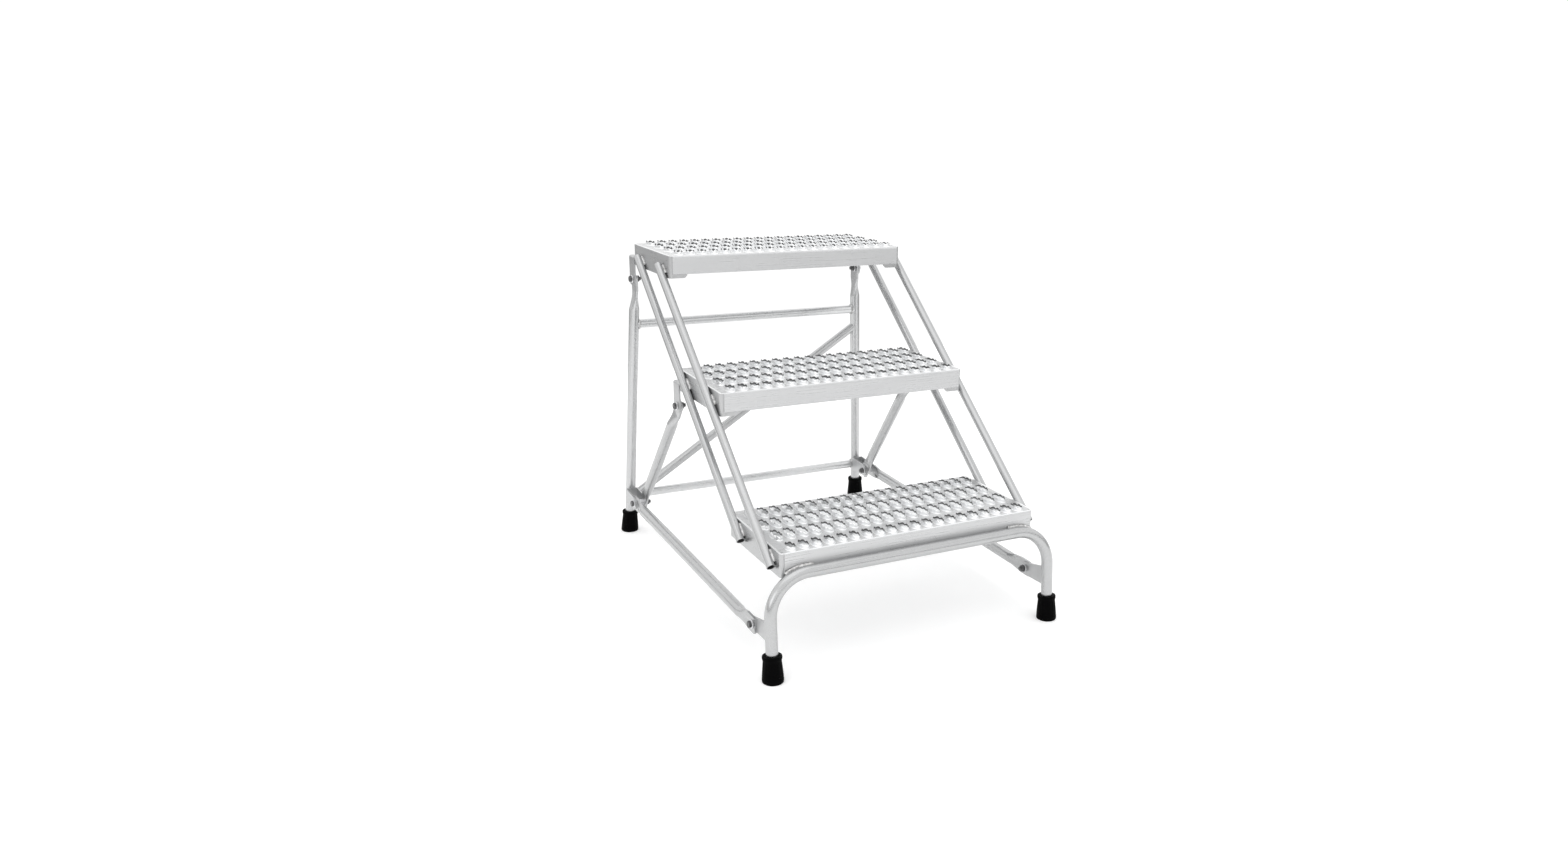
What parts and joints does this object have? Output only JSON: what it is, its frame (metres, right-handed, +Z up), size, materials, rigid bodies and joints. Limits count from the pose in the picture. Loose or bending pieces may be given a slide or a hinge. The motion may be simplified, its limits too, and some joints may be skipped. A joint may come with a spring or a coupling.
{
  "type": "three-step mounting block",
  "caption": "Open-framed metal step stand with slip-resistant grating treads, splayed braced legs and rubber feet, used as a mounting block for riders.",
  "frame": {"origin": "centre of the footprint on the floor", "axes": "+X across the steps to the climber's right, +Y from the bottom step towards the top step, +Z up"},
  "size_m": [0.7328, 0.9826, 0.771],
  "materials": {
    "tread_aluminium": "mill finish, punched and serrated",
    "plate_aluminium": "mill finish sheet",
    "tube_aluminium": "mill finish drawn tube",
    "bracket_aluminium": "mill finish",
    "weld_bead": "as welded, rippled and dull",
    "zinc_steel": "zinc plated",
    "foot_rubber": "moulded, matt"
  },
  "bodies": {
    "root": {"bolt_spacers": "zinc_steel", "bottom_end_plate_left": "plate_aluminium", "bottom_end_plate_right": "plate_aluminium", "bottom_tread": "tread_aluminium", "bottom_tread_skirts": "tread_aluminium", "brace_bracket_left": "bracket_aluminium", "brace_bracket_right": "bracket_aluminium", "brace_top_bolt_left": "zinc_steel", "brace_top_bolt_right": "zinc_steel", "brace_top_nut_left": "zinc_steel", "brace_top_nut_right": "zinc_steel", "foot_bracket_bolt_left": "zinc_steel", "foot_bracket_bolt_right": "zinc_steel", "foot_bracket_left": "bracket_aluminium", "foot_bracket_nut_left": "zinc_steel", "foot_bracket_nut_right": "zinc_steel", "foot_bracket_right": "bracket_aluminium", "foot_front_left": "foot_rubber", "foot_front_right": "foot_rubber", "foot_rear_left": "foot_rubber", "foot_rear_right": "foot_rubber", "foot_washers": "zinc_steel", "frame_welds": "weld_bead", "front_leg_hoop": "tube_aluminium", "hoop_welds": "weld_bead", "leg_bracket_left": "bracket_aluminium", "leg_bracket_right": "bracket_aluminium", "leg_top_bolt_left": "zinc_steel", "leg_top_bolt_right": "zinc_steel", "leg_top_nut_left": "zinc_steel", "leg_top_nut_right": "zinc_steel", "lower_crossbar": "tube_aluminium", "middle_brace_left": "tube_aluminium", "middle_brace_right": "tube_aluminium", "middle_end_plate_left": "plate_aluminium", "middle_end_plate_right": "plate_aluminium", "middle_tread": "tread_aluminium", "middle_tread_skirts": "tread_aluminium", "rail_front_left": "tube_aluminium", "rail_front_right": "tube_aluminium", "rail_rear_left": "tube_aluminium", "rail_rear_right": "tube_aluminium", "rail_welds": "weld_bead", "rear_diagonal": "tube_aluminium", "rear_leg_left": "tube_aluminium", "rear_leg_right": "tube_aluminium", "side_tie_left": "tube_aluminium", "side_tie_right": "tube_aluminium", "tie_front_bolt_left": "zinc_steel", "tie_front_bolt_right": "zinc_steel", "tie_front_nut_left": "zinc_steel", "tie_front_nut_right": "zinc_steel", "tie_tab_left": "bracket_aluminium", "tie_tab_right": "bracket_aluminium", "top_end_plate_left": "plate_aluminium", "top_end_plate_right": "plate_aluminium", "top_tread": "tread_aluminium", "top_tread_skirts": "tread_aluminium", "upper_crossbar": "tube_aluminium"}
  },
  "joints": []
}
